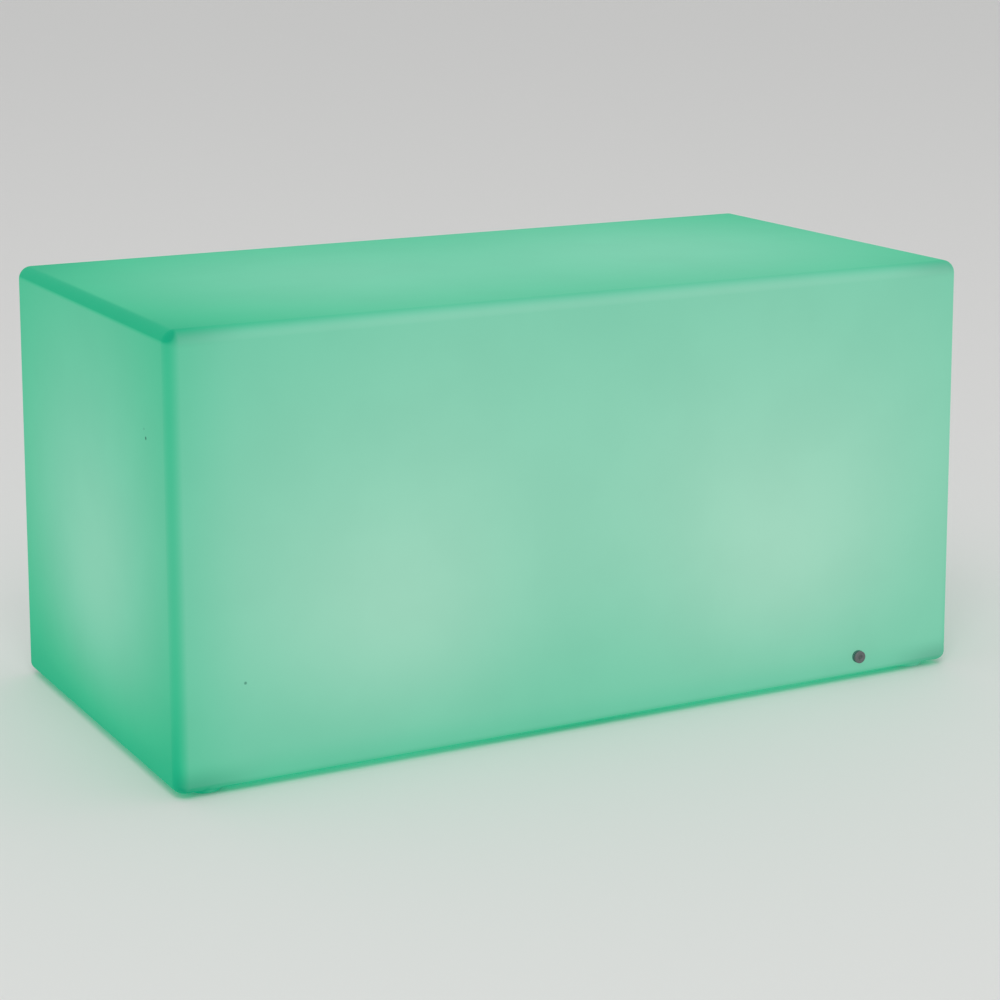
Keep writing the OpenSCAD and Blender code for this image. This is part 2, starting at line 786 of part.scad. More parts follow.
module plate_screws(side) {
    color("silver") in_module(side) at_plate_posts() translate([0, 0, led_board_z]) mirror([0, 0, 1])
        screw(plate_screw_r, plate_screw_len, plate_head_r, plate_head_h);
}

module led_board(side) {
    color("white") in_module(side)
        translate([0, 0, led_board_z]) cylinder(r = led_board_r, h = led_board_t);
}

module leds(side) {
    color("lightyellow") in_module(side) for (circle = LED_RINGS)
        around(circle[1], circle[0]) translate([-led_w / 2, -led_w / 2, led_z]) cube([led_w, led_w, led_h]);
}

module led_lead(side) {
    color("red") in_module(side) translate([0, board_y, cover_top])
        tube(LED_ROUTE, thin_lead_r, [1, 0, 0]);
}

// A shallow dome on the tub's rim, with a lip that holds the heat plate down
module light_dome(side) {
    ball_z = rim_z + dome_h - dome_ball;
    lip_z = led_board_z + 2 * fit;
    lip_r = tub_in - 4 * fit;
    color("azure", 0.5) in_module(side) {
        difference() {
            union() {
                translate([0, 0, rim_z]) cylinder(r = tub_r, h = dome_t);
                intersection() {
                    translate([0, 0, ball_z]) sphere(r = dome_ball);
                    translate([0, 0, rim_z + fit]) cylinder(r = dome_chord + dome_t, h = dome_h + over);
                }
            }
            translate([0, 0, ball_z]) sphere(r = dome_ball - dome_t);
        }
        translate([0, 0, lip_z]) ring(lip_r, lip_r - dome_lip, rim_z + dome_t / 2 - lip_z);
    }
}

shell();
socket_body();
socket_gasket();
socket_washer();
socket_nut();
socket_pin();
socket_cap();
charging_lead();
linking_lead();
lead_clips();
lead_grommets();
blanking_plug();
for (side = SIDES) {
    base_cover(side);
    cover_seal(side);
    cover_screws(side);
    threaded_inserts(side);
    battery_tray(side);
    battery_cells(side);
    contact_strips(side);
    battery_strap(side);
    battery_lead(side);
    control_board(side);
    board_parts(side);
    board_screws(side);
    button_switch(side);
    power_button(side);
    button_spring(side);
    heat_plate(side);
    plate_screws(side);
    led_board(side);
    leds(side);
    led_lead(side);
    light_dome(side);
}
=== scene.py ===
import json
import math

import bmesh
import bpy
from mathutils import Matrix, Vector
from mathutils.geometry import delaunay_2d_cdt


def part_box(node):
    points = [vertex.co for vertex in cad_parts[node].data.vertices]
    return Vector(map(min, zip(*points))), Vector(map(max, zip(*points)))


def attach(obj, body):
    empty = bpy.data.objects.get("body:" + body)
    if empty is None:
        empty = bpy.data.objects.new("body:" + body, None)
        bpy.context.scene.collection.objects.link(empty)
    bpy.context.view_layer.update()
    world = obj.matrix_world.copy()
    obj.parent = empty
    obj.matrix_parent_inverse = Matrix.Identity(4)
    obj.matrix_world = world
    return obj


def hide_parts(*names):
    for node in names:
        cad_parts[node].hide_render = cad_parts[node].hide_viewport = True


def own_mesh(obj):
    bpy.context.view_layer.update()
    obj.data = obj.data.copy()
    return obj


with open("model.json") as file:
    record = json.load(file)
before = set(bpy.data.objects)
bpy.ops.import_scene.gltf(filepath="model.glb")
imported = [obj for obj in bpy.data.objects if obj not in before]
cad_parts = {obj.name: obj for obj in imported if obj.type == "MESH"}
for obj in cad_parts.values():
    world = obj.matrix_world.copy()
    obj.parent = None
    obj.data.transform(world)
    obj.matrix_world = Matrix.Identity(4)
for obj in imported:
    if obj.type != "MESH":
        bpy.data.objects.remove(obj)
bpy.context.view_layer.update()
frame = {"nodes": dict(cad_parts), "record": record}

# Lit double cube. Metres, with +X along the body, -Y at the front and the ground at z = 0.
# The shell's skin is modelled here, round the seats that the CAD pieces need, and so are the
# buttons' return springs. The other pieces are the CAD solids with softened edges and their
# own materials.
MM = 0.001

# Welding of a modelled surface: the widest gap that closes, the shortest edge that stays and the
# smallest triangle that is kept. The patches are triangulated in millimetres.
WELD_GAP = 0.01 * MM
SHORT_EDGE = 0.005 * MM
SLIVER = 0.002 * MM * MM
PATCH_TOLERANCE = 1e-4

# The shell, from the box of its solid and the sizes of its mould
SHELL_LOW, SHELL_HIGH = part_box("shell")
COVER_LOW, COVER_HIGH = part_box("base_cover_right")
LEAN = math.tan(math.radians(0.69))
EDGE_R = 12 * MM
BASE_R = 8.5 * MM
WALL = 4 * MM
FOOT_H = 5 * MM
FOOT_R = 13 * MM
FOOT_SLOPE = 5 / 3
FOOT_BLEND = 2.4 * MM
FOOT_ROUND = 1.2 * MM
FOOT_REACH = 21 * MM
FOOT_AT = (34 * MM, 24 * MM)
TOP_Z = SHELL_HIGH.z
LOW_Z = FOOT_H + BASE_R
HIGH_Z = TOP_Z - EDGE_R
LOW_HALF_X = SHELL_HIGH.x - EDGE_R
LOW_HALF_Y = SHELL_HIGH.y - EDGE_R
FOOT_X = SHELL_HIGH.x - FOOT_AT[0]
FOOT_Y = SHELL_HIGH.y - FOOT_AT[1]

# The pockets in the floor, each round a module, with the radii of their rounded edges
MODULE_X = (COVER_LOW.x + COVER_HIGH.x) / 2
COVER_R = (COVER_HIGH.x - COVER_LOW.x) / 2
COVER_EDGE = 3.8 * MM
POCKET_R = COVER_R + 3 * MM
TUB_R = 70 * MM
OPENING_R = TUB_R + 3 * MM
SEAT_Z = COVER_LOW.z + COVER_EDGE
SEAT_TOP = SEAT_Z + WALL
SCREW_N = 6
SCREW_AT = COVER_R - 5 * MM
INSERT_R = 3.05 * MM
INSERT_LEN = 8 * MM
SCREW_HOLE_R = 2.1 * MM
SCREW_DEPTH = 9.2 * MM
BOSS_R = 5.5 * MM
BOSS_TOP = SEAT_Z + SCREW_DEPTH + 2.5 * MM
RIM_ROUND = 2 * MM
INNER_RIM_ROUND = 1.5 * MM
SEAT_ROUND = 1.2 * MM
OPENING_ROUND = 1 * MM
CUP_ROUND = 1 * MM
BOSS_FOOT_ROUND = 1 * MM
BOSS_ROUND = 0.8 * MM
RIM_R = POCKET_R + RIM_ROUND
INNER_RIM_R = POCKET_R + WALL + INNER_RIM_ROUND

# The charging socket in the front wall, its spot face, and the recess in its cap, with the painted
# shade in that recess
SOCKET_X = 293 * MM
SOCKET_Z = 25 * MM
SPOT_R = 6.6 * MM
SPOT_IN_R = 7 * MM
SPOT = 0.3 * MM
BARREL_HOLE_R = 4.15 * MM
SOCKET_MARGIN = 8.5 * MM
CAP_DISH = (1.7 * MM, 2.6 * MM)
CAP_COLOUR = (0.125, 0.133, 0.136)
CAP_ROUGHNESS = 0.42
# The darker colour in the cap's recess is painted shade.
CAP_DISH_SHADE_COLOUR = (0.08, 0.093, 0.093)

# The return springs of the buttons
WIRE_R = 0.35 * MM
SPRING_TURNS = 5
TURN_STEPS = 24
WIRE_SIDES = 8

# How finely the skin is divided, and how far the free points of its patches keep off their borders
LONG_N = 44
SHORT_N = 22
CORNER_N = 9
WALL_ROWS = 22
ROUND_STEP = 10
FLOOR_ROWS = 7
CIRCLE_N = 96
HOLE_N = 32
FILLET_N = 5
GRID = 24 * MM
FOOT_RING_N = 20
FOOT_RING_STEP = 0.45 * MM
FOOT_RING_INSET = 1.5 * MM
FOOT_CLEAR = 1 * MM
POCKET_RING = 4 * MM
POCKET_CLEAR = 6 * MM
BORDER_CLEAR = 0.5 * MM
SPOT_RING = 1 * MM

# The angles, in degrees, from which an edge is shaded sharp
SKIN_SHARP = 40
SPRING_SHARP = 60

# The glow, fitted to the photographed brightness of the front, the left end and the top: where
# the light seems to come from, how it falls off, its gain and floor on faces across each axis,
# how much it changes with each metre of the place, the glow that counts as 1 in the colours, and
# the colours from dim to bright
# All of the shell's glow is painted light: an emission that stands in for the modules' light coming
# through the wall. On faces across Y its floor also holds a painted reflection of studio light from
# in front.
GLOW_SOURCES = ((-0.2, -0.01, -0.002), (0.2, -0.01, -0.002))
GLOW_SPREAD = 2.26
GLOW_POWER = 0.722
GLOW_UNIT = 0.2
GLOW_GAIN = (0.874, 0.618, 0.548)
GLOW_AND_SHEEN_FLOOR = (0.029, 0.163, -0.023)
GLOW_TILT = (0.053, 0.0, -0.170)
GLOW_FULL = 0.5
GLOW_STOPS = ((0.0, (0.0, 0.33, 0.15)), (0.06, (0.03, 0.395, 0.195)),
              (0.16, (0.08, 0.43, 0.245)), (0.32, (0.16, 0.482, 0.32)),
              (0.5, (0.25, 0.532, 0.386)), (0.68, (0.34, 0.582, 0.447)))
# The shell's base colour is far darker than its pale plastic: painted shade, as for a dark room, so
# that the lamps add little to its glow.
SHELL_SHADED_BASE = (0.006, 0.10, 0.07)
SHELL_ROUGHNESS = 0.55
SHELL_SPECULAR = 0.1

# How much of the glow the rounded edges lose, at the left end and at the right: across the ends of
# the top, across those of the bottom, at the upright edges and along the long edges of the top,
# whose lip runs between these slopes of the surface. The photo shows less of it to the right.
# This loss is partly the thicker wall in the rounded edges and partly painted shade, which is why
# it is heavier at the left end.
DIM_END_TOP = (3.6, 1.1)
DIM_END_BASE = (1.7, 0.9)
DIM_UPRIGHT = (0.95, 0.2)
DIM_LIP = (0.09, 0.02)
LIP_UP = (0.45, 0.92)
LIP_OUT = (0.02, 0.3)

# Near the ground the glow keeps this share, at the left end and at the right, over these heights.
# It also drops a little on the long sides near their left ends.
BASE_FADE = (0.003, 0.038)
BASE_GLOW = (0.71, 0.86)
SIDE_DIM = 0.036
SIDE_REACH = (-0.40, -0.33)

# The long sides' corners glow less, low down and at the top, a dimming painted into the glow: by
# how much, how far out they start and how high they are
CORNER_DIM = (0.3, 0.25)
CORNER_REACH = (0.32, 0.39)
CORNER_LOW = (0.008, 0.032)
CORNER_HIGH = (0.384, 0.398)

# The underside's painted glow colours, far from the modules and near them, and the slopes that
# count as under
UNDER_GLOW = ((0.0, 0.47, 0.21), (0.06, 0.62, 0.33))
UNDER_REACH = 0.28
UNDER_SLOPE = (-0.995, -0.96)

# Dark specks in the shell's wall: place, radius and the share of the glow that is left, and how
# much of the radius is fully dark
SPECKS = (((-0.4000, -0.146, 0.3029), 0.0021, 0.15), ((-0.4000, -0.1422, 0.3101), 0.0015, 0.6),
          ((-0.3387, -0.2000, 0.0962), 0.0018, 0.45))
SPECK_CORE = 0.4

# The noises in the materials: how many cells there are in a metre, and the detail. MIDDLE holds
# most of a noise's values, and UNEVEN is what the shell's noises make of its glow.
MIDDLE = (0.3, 0.7)
UNEVEN = (0.985, 1.015)
SHELL_CLOUD = (5.0, 1.0)
SHELL_MOTTLE = (14.0, 3.0)
SHELL_SWELL = (28.0, 1.0)
SHELL_GRAIN = (420.0, 3.0)
SWELL_SHARE = 3.0
MOULD_MOTTLE = (60.0, 3.0)
MOULD_SHINE = (180.0, 2.0)
MOULD_GRAIN = (900.0, 2.0)
DUST = (240.0, 4.0)
RUBBER_GRAIN = (1600.0, 2.0)
METAL_GRAIN = (1400.0, 3.0)
TARNISH = (220.0, 3.0)
SLEEVE_FOLD = (90.0, 3.0)
BOARD_SHINE = (500.0, 2.0)
LENS_GLINT = (700.0, 1.0)
DOME_SHINE = (120.0, 2.0)
DOME_GRAIN = (600.0, 2.0)

# The noise values between which a material's first colour turns into its second. Dark spots and
# tarnish keep these shares of the first colour, and dust adds a little to it.
MOULD_SPOTS = (0.35, 0.7)
SPOT_SHARE = 0.97
DUST_SPOTS = (0.55, 0.85)
DUST_ADDED = 0.05
TARNISH_SPOTS = (0.45, 0.8)
TARNISH_SHARE = 0.8
SLEEVE_FOLDS = (0.5, 0.8)

# How much smoother and how much rougher the materials are in places
MOULD_UNEVEN = (-0.05, 0.07)
METAL_UNEVEN = (-0.06, 0.1)
SLEEVE_UNEVEN = (-0.03, 0.07)
BOARD_UNEVEN = (-0.06, 0.1)
DOME_UNEVEN = (-0.04, 0.08)

# The rubber's shine, the strap's weave, the boards' tracks, the sleeves of the cells and where
# along them they get rougher, the LEDs' lenses and their glow, and the domes
RUBBER_SPECULAR = 0.35
STRAP_COLOURS = ((0.012, 0.014, 0.028), (0.05, 0.055, 0.09))
STRAP_ROUGHNESS = 0.8
STRAP_SPECULAR = 0.3
STRAP_SHEEN = 0.3
YARNS = (("X", 260.0), ("Y", 420.0))
YARN_WAVER = 0.4
BOARD_ROUGHNESS = 0.32
TRACK_SCALE = 260.0
TRACK_WIDTH = 0.06
TRACK_BLUR = 0.2
TRACK_SHARE = 0.5
SLEEVE_COLOURS = ((0.022, 0.073, 0.342), (0.015, 0.05, 0.26))
SLEEVE_ROUGHNESS = 0.25
SLEEVE_REACH = (-0.03, 0.05)
SLEEVE_STRETCH = (1.0, 6.0, 1.0)
LENS_COLOUR = (0.84, 0.8, 0.4)
LENS_ROUGHNESS = 0.15
LENS_GLOW = (0.02, 0.9, 0.45)
LENS_STRENGTH = (1.2, 1.8)
DOME_COLOUR = (0.9, 0.96, 0.95)
DOME_ROUGHNESS = 0.12
DOME_CLEAR = 0.92
DOME_IOR = 1.49

# The bumps of the materials: strength and depth
SHELL_BUMP = (0.12, 0.3 * MM)
MOULD_BUMP = (0.06, 0.2 * MM)
RUBBER_BUMP = (0.15, 0.2 * MM)
METAL_BUMP = (0.08, 0.1 * MM)
WEAVE_BUMP = (0.6, 0.4 * MM)
SLEEVE_BUMP = (0.2, 0.3 * MM)
BOARD_BUMP = (0.25, 0.1 * MM)
DOME_BUMP = (0.05, 0.2 * MM)

# The soft edges given to the CAD solids: the angle from which an edge is softened, how close
# corners are that get joined first, the segments across an edge, and its width in millimetres
EDGE_ANGLE = 32
EDGE_WELD = 0.001 * MM
EDGE_SEGMENTS = 2
EDGE_WIDTHS = {
    "base_cover": 0.5, "power_button": 0.4, "cover_screws": 0.3, "socket_body": 0.3,
    "socket_cap": 0.2, "socket_washer": 0.1, "socket_nut": 0.25, "lead_clips": 0.3,
    "battery_tray": 0.3, "battery_cells": 0.8, "battery_strap": 0.3, "control_board": 0.1,
    "board_parts": 0.25, "board_screws": 0.25, "button_switch": 0.25, "heat_plate": 0.3,
    "plate_screws": 0.25, "led_board": 0.15, "leds": 0.25, "light_dome": 0.3,
    "threaded_inserts": 0.15, "contact_strips": 0.05, "lead_grommets": 0.3, "blanking_plug": 0.3,
    "socket_gasket": 0.15, "cover_seal": 0.25
}

# The studio. The floor lets light through to what lies within FLOOR_GAP of it.
FLOOR_HALF = 40.0
FLOOR_COLOUR = (0.78, 0.78, 0.77)
FLOOR_GAP = 0.03
FLOOR_ROUGHNESS = 0.7
FLOOR_SPECULAR = 0.2
LAMP_AT = Vector((-2.5, -4.5, 6.0))
LAMP_SIZE = 4.0
LAMP_POWER = 190.0
WORLD_LIGHT = 0.66
WORLD_SHOWN = 0.85

# The camera, fitted to the block's outline and edges in the photograph
CAMERA_AT = Vector((-1.0952, -2.0732, 0.7639))
CAMERA_AZIMUTH = math.radians(28.073)
CAMERA_PITCH = math.radians(14.216)
CAMERA_LENS = 90.40
SENSOR = 36.0
CLIP_END = 100


def circle(centre_x, centre_y, radius, count):
    """Points round a circle, as pairs."""
    turns = [2 * math.pi * i / count for i in range(count)]
    return [(centre_x + radius * math.cos(a), centre_y + radius * math.sin(a)) for a in turns]


def inside(loop, x, y):
    """Whether a place is inside a closed loop of pairs."""
    result = False
    ax, ay = loop[-1]
    for bx, by in loop:
        if (ay > y) != (by > y) and x < ax + (y - ay) * (bx - ax) / (by - ay):
            result = not result
        ax, ay = bx, by
    return result


def ring(half_x, half_y, radius, z):
    """A closed row of points round a rectangle with its corners rounded outwards by radius."""
    corners = [(1, 1), (-1, 1), (-1, -1), (1, -1)]
    points = []
    for k, (sx, sy) in enumerate(corners):
        for i in range(CORNER_N + 1):
            a = math.pi / 2 * (k + i / CORNER_N)
            points.append(Vector((sx * half_x + radius * math.cos(a),
                                  sy * half_y + radius * math.sin(a), z)))
        start = points[-1]
        nx, ny = corners[(k + 1) % 4]
        a = math.pi / 2 * (k + 1)
        end = Vector((nx * half_x + radius * math.cos(a), ny * half_y + radius * math.sin(a), z))
        steps = LONG_N if k % 2 == 0 else SHORT_N
        points.extend(start.lerp(end, i / steps) for i in range(1, steps))
    return points


def half_sizes(z):
    """Half the length and depth of the block of edge centres at a height."""
    back = LEAN * (z - LOW_Z)
    return LOW_HALF_X - back, LOW_HALF_Y - back


def base_radius(radius):
    """The bottom edge's radius on the skin whose upright edges have this radius."""
    return BASE_R - EDGE_R + radius


def wall_rows(radius):
    """Rows of points up the wall and its rounded edges, from the underside to the top face."""
    base = base_radius(radius)
    rows = []
    for degrees in range(-90, 1, ROUND_STEP):
        a = math.radians(degrees)
        out = radius - base + base * math.cos(a)
        rows.append(ring(*half_sizes(LOW_Z), out, LOW_Z + base * math.sin(a)))
    for i in range(1, WALL_ROWS):
        z = LOW_Z + (HIGH_Z - LOW_Z) * i / WALL_ROWS
        rows.append(ring(*half_sizes(z), radius, z))
    for degrees in range(0, 91, ROUND_STEP):
        a = math.radians(degrees)
        rows.append(ring(*half_sizes(HIGH_Z), radius * math.cos(a), HIGH_Z + radius * math.sin(a)))
    return rows


def smooth_min(a, b, width):
    """The lower of two heights, blended where they are closer than width."""
    h = max(width - abs(a - b), 0) / width
    return min(a, b) - h * h * width / 4


def smooth_max(a, b, width):
    """The higher of two heights, blended where they are closer than width."""
    return -smooth_min(-a, -b, width)


def floor_height(x, y, radius, foot_bottom, foot_r):
    """Height of the underside, or of the floor inside, with its feet and its rounded edge."""
    half_x, half_y = half_sizes(LOW_Z)
    base = base_radius(radius)
    out = math.hypot(max(abs(x) - half_x, 0), max(abs(y) - half_y, 0))
    turned_up = max(out - (radius - base), 0)
    body = LOW_Z - math.sqrt(max(base * base - turned_up * turned_up, 0))
    r = math.hypot(abs(x) - FOOT_X, abs(y) - FOOT_Y)
    if r > FOOT_REACH:
        return body
    foot = smooth_max(foot_bottom, foot_bottom + (r - foot_r) * FOOT_SLOPE, FOOT_ROUND)
    return smooth_min(body, foot, FOOT_BLEND)


class Skin:
    """Faces of a closed surface, welded at the end."""

    def __init__(self):
        self.bm = bmesh.new()

    def add(self, points):
        """The corners at these points."""
        return [self.bm.verts.new(p) for p in points]

    def face(self, verts):
        """A face on these corners, unless fewer than three differ."""
        if len(set(verts)) > 2:
            self.bm.faces.new(verts)

    def rows(self, rows, skip=None):
        """Quads between closed rows of as many points each."""
        made = [self.add(row) for row in rows]
        count = len(rows[0])
        for i in range(len(rows) - 1):
            for k in range(count):
                if skip and skip(i, k):
                    continue
                n = (k + 1) % count
                self.face((made[i][k], made[i][n], made[i + 1][n], made[i + 1][k]))

    def cap(self, row):
        """A flat face inside a closed row."""
        self.face(self.add(row))

    def patch(self, outer, holes, points, lift):
        """Triangles inside the outer loop and outside the holes, through the free points. All
        are pairs, and lift gives the place of a pair."""
        flat = []
        edges = []
        for loop in [outer] + holes:
            start = len(flat)
            flat.extend(loop)
            edges.extend((start + i, start + (i + 1) % len(loop)) for i in range(len(loop)))
        flat.extend(points)
        scaled = [Vector((x / MM, y / MM)) for x, y in flat]
        found = delaunay_2d_cdt(scaled, edges, [], 0, PATCH_TOLERANCE)
        places = [(v.x * MM, v.y * MM) for v in found[0]]
        verts = self.add(lift(x, y) for x, y in places)
        for tri in found[2]:
            (ax, ay), (bx, by), (cx, cy) = (places[i] for i in tri)
            area = abs((bx - ax) * (cy - ay) - (cx - ax) * (by - ay)) / 2
            middle = ((ax + bx + cx) / 3, (ay + by + cy) / 3)
            if area < SLIVER or not inside(outer, *middle):
                continue
            if not any(inside(hole, *middle) for hole in holes):
                self.face([verts[i] for i in tri])

    def finish(self, name, sharp):
        """Welds the faces, turns them outwards and makes the object."""
        bmesh.ops.remove_doubles(self.bm, verts=self.bm.verts, dist=WELD_GAP)
        bmesh.ops.dissolve_degenerate(self.bm, edges=self.bm.edges, dist=SHORT_EDGE)
        bmesh.ops.recalc_face_normals(self.bm, faces=self.bm.faces)
        mesh = bpy.data.meshes.new(name)
        self.bm.to_mesh(mesh)
        self.bm.free()
        mesh.shade_smooth()
        mesh.set_sharp_from_angle(angle=math.radians(sharp))
        obj = bpy.data.objects.new(name, mesh)
        bpy.context.scene.collection.objects.link(obj)
        weights = obj.modifiers.new("even_normals", "WEIGHTED_NORMAL")
        weights.keep_sharp = True
        return obj


def top_grid(skin, radius):
    """The flat top, whose border is the last row of the wall."""
    half_x, half_y = half_sizes(HIGH_Z)
    z = HIGH_Z + radius
    xs = [half_x * (1 - 2 * i / LONG_N) for i in range(LONG_N + 1)]
    ys = [half_y * (1 - 2 * i / SHORT_N) for i in range(SHORT_N + 1)]
    made = [skin.add(Vector((x, y, z)) for x in xs) for y in ys]
    for j in range(SHORT_N):
        for i in range(LONG_N):
            skin.face((made[j][i], made[j][i + 1], made[j + 1][i + 1], made[j + 1][i]))


def socket_window(rows):
    """The rows and columns round the charging socket that the wall's own faces leave out: the
    lowest, the highest, the first and the last."""
    first_front = 3 * CORNER_N + LONG_N + SHORT_N
    left, right = SOCKET_X - SOCKET_MARGIN, SOCKET_X + SOCKET_MARGIN
    low, high = SOCKET_Z - SOCKET_MARGIN, SOCKET_Z + SOCKET_MARGIN
    mid = rows[len(rows) // 3]
    front = range(first_front, first_front + LONG_N)
    across = [k for k in front if mid[k + 1].x > left and mid[k].x < right]
    up = [i for i in range(len(rows) - 1) if rows[i + 1][0].z > low and rows[i][0].z < high]
    return up[0], up[-1] + 1, across[0], across[-1] + 1


def wall_depth(z, radius):
    """How far the front wall's surface is from the middle at a height."""
    if z >= LOW_Z:
        return half_sizes(z)[1] + radius
    base = base_radius(radius)
    return half_sizes(LOW_Z)[1] + radius - base + math.sqrt(max(base * base - (LOW_Z - z) ** 2, 0))


def socket_side(skin, rows, window, radius, spot_r, inward):
    """One side of the front wall round the socket: the window's border, the spot face and its
    floor. Returns the circle at the end of the barrel's hole."""
    low, high, left, right = window
    border = [rows[low][k] for k in range(left, right + 1)]
    border += [rows[i][right] for i in range(low + 1, high + 1)]
    border += [rows[high][k] for k in range(right - 1, left - 1, -1)]
    border += [rows[i][left] for i in range(high - 1, low, -1)]
    loop = [(p.x, p.z) for p in border]
    rim = circle(SOCKET_X, SOCKET_Z, spot_r, HOLE_N)

    def lift(x, z):
        return Vector((x, -wall_depth(z, radius), z))

    def sunk(x, z):
        return Vector((x, -(half_sizes(z)[1] + radius) - inward * SPOT, z))

    skin.patch(loop, [rim], circle(SOCKET_X, SOCKET_Z, spot_r + SPOT_RING, HOLE_N), lift)
    hole = circle(SOCKET_X, SOCKET_Z, BARREL_HOLE_R, HOLE_N)
    skin.rows([[lift(*p) for p in rim], [sunk(*p) for p in rim], [sunk(*p) for p in hole]])
    return [sunk(*p) for p in hole]


def floor_patch(skin, rows, radius, foot_bottom, foot_r, hole_r):
    """The underside or the floor inside, as far out as a row of the rounded edge. Its free points
    lie on a grid, on that edge's first rows, round the feet and round the pockets."""
    outer = [(p.x, p.y) for p in rows[FLOOR_ROWS]]
    edge_x = max(x for x, _ in outer) - BORDER_CLEAR
    edge_y = max(y for _, y in outer) - BORDER_CLEAR
    foot_rings = [i * foot_r / 4 for i in range(1, 4)]
    foot_rings += [foot_r - FOOT_RING_INSET + i * FOOT_RING_STEP for i in range(FOOT_RING_N)]
    free = []
    for row in rows[:FLOOR_ROWS]:
        free.extend((p.x, p.y) for p in row)
    steps_x = int(LOW_HALF_X // GRID)
    steps_y = int(LOW_HALF_Y // GRID)
    for i in range(-steps_x, steps_x + 1):
        free.extend((i * GRID, j * GRID) for j in range(-steps_y, steps_y + 1))

    def clear(x, y):
        from_foot = math.hypot(abs(x) - FOOT_X, abs(y) - FOOT_Y)
        from_module = math.hypot(abs(x) - MODULE_X, y)
        return from_foot >= FOOT_REACH + FOOT_CLEAR and from_module > hole_r + POCKET_CLEAR

    free = set((round(x, 7), round(y, 7)) for x, y in free if clear(x, y))
    for sx in (-1, 1):
        for sy in (-1, 1):
            free.add((sx * FOOT_X, sy * FOOT_Y))
            for r in foot_rings:
                free.update(p for p in circle(sx * FOOT_X, sy * FOOT_Y, r, CIRCLE_N // 2)
                            if abs(p[1]) < edge_y and abs(p[0]) < edge_x)
        free.update(circle(sx * MODULE_X, 0, hole_r + POCKET_RING, CIRCLE_N))
    holes = [circle(sx * MODULE_X, 0, hole_r, CIRCLE_N) for sx in (-1, 1)]

    def lift(x, y):
        return Vector((x, y, floor_height(x, y, radius, foot_bottom, foot_r)))

    skin.patch(outer, holes, sorted(free), lift)


def quarter(centre_r, centre_z, radius, first, last):
    """Points of a fillet in a profile of radius and height, from one angle to another."""
    angles = [math.radians(first + (last - first) * i / FILLET_N) for i in range(FILLET_N + 1)]
    return [(centre_r + radius * math.cos(a), centre_z + radius * math.sin(a)) for a in angles]


def turned(skin, x, y, profile, count):
    """Rows of faces round a vertical axis, along a profile of radius and height."""
    skin.rows([[Vector((px, py, z)) for px, py in circle(x, y, r, count)] for r, z in profile])


def seat(skin, x, z, outer_r, inner_r, hole_r):
    """A flat ring round a module, with a hole for each screw or boss."""
    centres = circle(x, 0, SCREW_AT, SCREW_N)
    holes = [circle(cx, cy, hole_r, HOLE_N) for cx, cy in centres]

    def lift(px, py):
        return Vector((px, py, z))

    skin.patch(circle(x, 0, outer_r, CIRCLE_N), [circle(x, 0, inner_r, CIRCLE_N)] + holes, [], lift)
    return centres


def disc(skin, x, y, radius, z):
    """A flat round end of a hole or a boss."""
    skin.cap([Vector((px, py, z)) for px, py in circle(x, y, radius, HOLE_N)])


def screw_boss(skin, x, y):
    """A stepped hole for a cover screw and its insert, and the boss over it."""
    top = SEAT_Z + SCREW_DEPTH
    turned(skin, x, y, [(INSERT_R, SEAT_Z), (INSERT_R, SEAT_Z + INSERT_LEN),
                        (SCREW_HOLE_R, SEAT_Z + INSERT_LEN), (SCREW_HOLE_R, top)], HOLE_N)
    disc(skin, x, y, SCREW_HOLE_R, top)
    foot = quarter(BOSS_R + BOSS_FOOT_ROUND, SEAT_TOP + BOSS_FOOT_ROUND, BOSS_FOOT_ROUND, 270, 180)
    end = quarter(BOSS_R - BOSS_ROUND, BOSS_TOP - BOSS_ROUND, BOSS_ROUND, 0, 90)
    turned(skin, x, y, foot + end, HOLE_N)
    disc(skin, x, y, BOSS_R - BOSS_ROUND, BOSS_TOP)


def pocket(skin, x):
    """The pocket for a base cover, the seat inside it, the opening for the tub and the bosses."""
    seat_r = POCKET_R - SEAT_ROUND
    edge_r = OPENING_R + OPENING_ROUND
    cup_r = POCKET_R + WALL - CUP_ROUND
    inner_rim_z = FOOT_H + WALL + INNER_RIM_ROUND
    turned(skin, x, 0, quarter(RIM_R, FOOT_H + RIM_ROUND, RIM_ROUND, 270, 180)
           + quarter(seat_r, SEAT_Z - SEAT_ROUND, SEAT_ROUND, 0, 90), CIRCLE_N)
    centres = seat(skin, x, SEAT_Z, seat_r, edge_r, INSERT_R)
    turned(skin, x, 0, quarter(edge_r, SEAT_Z + OPENING_ROUND, OPENING_ROUND, 270, 180)
           + quarter(edge_r, SEAT_TOP - OPENING_ROUND, OPENING_ROUND, 180, 90), CIRCLE_N)
    seat(skin, x, SEAT_TOP, cup_r, edge_r, BOSS_R + BOSS_FOOT_ROUND)
    turned(skin, x, 0, quarter(cup_r, SEAT_TOP - CUP_ROUND, CUP_ROUND, 90, 0)
           + quarter(INNER_RIM_R, inner_rim_z, INNER_RIM_ROUND, 180, 270), CIRCLE_N)
    for centre in centres:
        screw_boss(skin, *centre)


def shell_skin():
    """The moulded shell, outside and inside, as one closed surface."""
    skin = Skin()
    hole_ends = []
    for radius, foot_bottom, foot_r, hole_r, spot_r, inward in (
            (EDGE_R, 0.0, FOOT_R, RIM_R, SPOT_R, -1),
            (EDGE_R - WALL, WALL, FOOT_R - WALL, INNER_RIM_R, SPOT_IN_R, 1)):
        rows = wall_rows(radius)
        floor_patch(skin, rows, radius, foot_bottom, foot_r, hole_r)
        window = socket_window(rows[FLOOR_ROWS:])
        low, high, left, right = window
        skin.rows(rows[FLOOR_ROWS:], lambda i, k: low <= i < high and left <= k < right)
        top_grid(skin, radius)
        hole_ends.append(socket_side(skin, rows[FLOOR_ROWS:], window, radius, spot_r, inward))
    skin.rows(hole_ends)
    for x in (-MODULE_X, MODULE_X):
        pocket(skin, x)
    return skin.finish("shell_skin", SKIN_SHARP)


